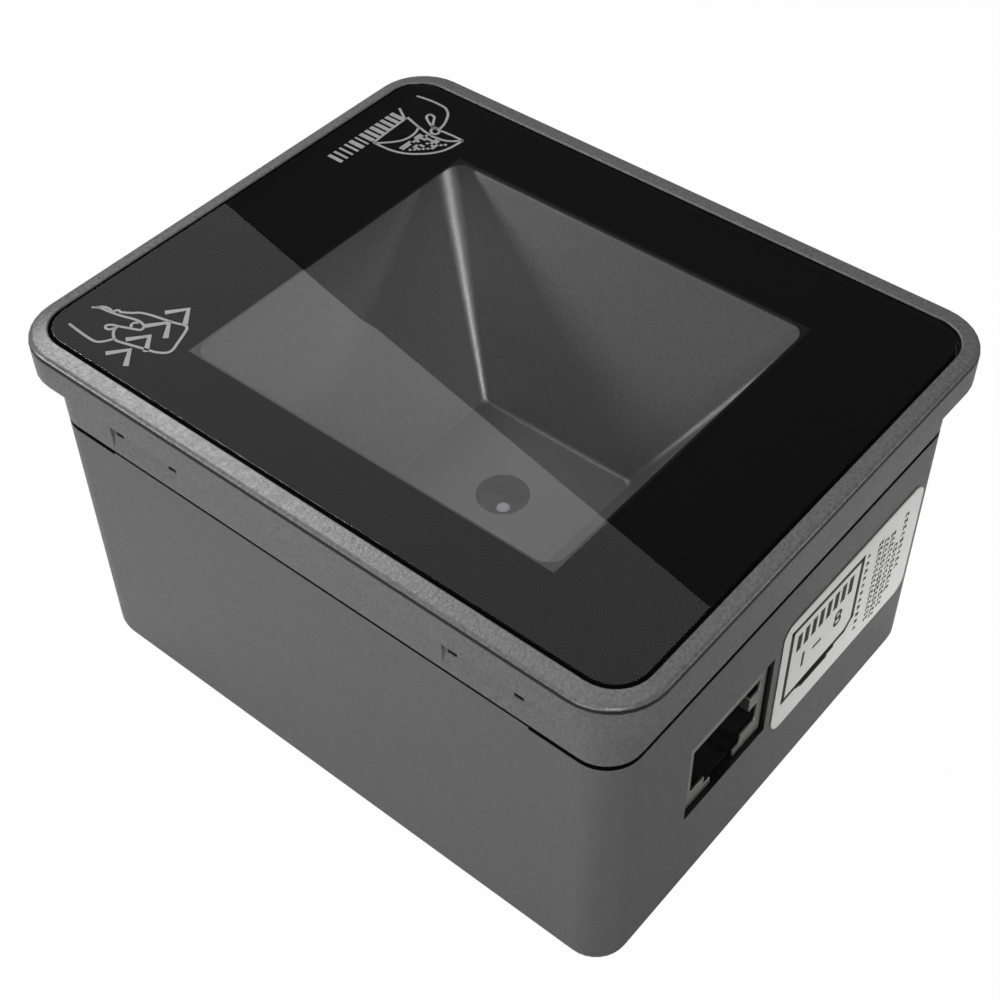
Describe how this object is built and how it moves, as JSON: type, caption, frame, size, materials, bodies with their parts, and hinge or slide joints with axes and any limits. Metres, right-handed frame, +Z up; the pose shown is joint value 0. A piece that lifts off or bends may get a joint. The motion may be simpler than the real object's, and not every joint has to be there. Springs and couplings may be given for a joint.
{
  "type": "fixed barcode reader",
  "caption": "Panel-mount code and card reader: a flanged glass window over a reflector funnel and camera, in a deep moulded case with a network socket in one end.",
  "frame": {"origin": "centre of the flat base, on the surface it stands on", "axes": "+X towards the end with the network socket, -Y the long front side, +Z up through the glass window"},
  "size_m": [0.0786, 0.0636, 0.0462],
  "materials": {
    "grey_abs": "fine grained dark grey moulding",
    "reflector_grey": "satin grey reflector paint on plastic",
    "printed_glass": "polished cover glass with a black printed border",
    "lens_glass": "coated optical glass",
    "tinted_acrylic": "tinted clear acrylic",
    "black_foam": "adhesive foam",
    "matte_black": "matte black nylon",
    "chip_black": "black epoxy",
    "ferrite": "pressed ferrite",
    "board_green": "green solder mask",
    "beige_nylon": "connector nylon",
    "cable_white": "white polyester film",
    "smoked_epoxy": "smoked epoxy LED",
    "label_paper": "matt white film label",
    "tinned_steel": "tinned sheet",
    "zinc_steel": "zinc plated",
    "bare_aluminium": "bare drawn can",
    "gold_plate": "gold plated spring",
    "copper": "copper track"
  },
  "bodies": {
    "root": {"bezel": "grey_abs", "lower_housing": "grey_abs", "reflector_funnel": "reflector_grey", "window_glass": "printed_glass", "front_lens": "lens_glass", "infrared_filter": "lens_glass", "lens_cover": "tinted_acrylic", "glass_tape": "black_foam", "lens_holder": "matte_black", "lens_barrel": "matte_black", "jack_insert": "matte_black", "buzzer": "matte_black", "image_sensor": "chip_black", "port_transformer": "chip_black", "processor_chip": "chip_black", "memory_chip": "chip_black", "card_reader_chip": "chip_black", "port_driver_chip": "chip_black", "power_inductor": "ferrite", "antenna_board": "board_green", "camera_board": "board_green", "main_board": "board_green", "light_board": "board_green", "antenna_socket": "beige_nylon", "board_socket": "beige_nylon", "camera_connector": "beige_nylon", "antenna_cable": "cable_white", "fill_led_1": "smoked_epoxy", "fill_led_2": "smoked_epoxy", "fill_led_3": "smoked_epoxy", "fill_led_4": "smoked_epoxy", "port_label": "label_paper", "jack_shield": "tinned_steel", "housing_screw_1": "zinc_steel", "housing_screw_2": "zinc_steel", "housing_screw_3": "zinc_steel", "housing_screw_4": "zinc_steel", "board_screw_1": "zinc_steel", "board_screw_2": "zinc_steel", "board_screw_3": "zinc_steel", "board_screw_4": "zinc_steel", "camera_screw_1": "zinc_steel", "camera_screw_2": "zinc_steel", "crystal_can": "zinc_steel", "power_capacitor": "bare_aluminium", "jack_contact_1": "gold_plate", "jack_contact_2": "gold_plate", "jack_contact_3": "gold_plate", "jack_contact_4": "gold_plate", "jack_contact_5": "gold_plate", "jack_contact_6": "gold_plate", "jack_contact_7": "gold_plate", "jack_contact_8": "gold_plate", "antenna_loop": "copper"}
  },
  "joints": []
}
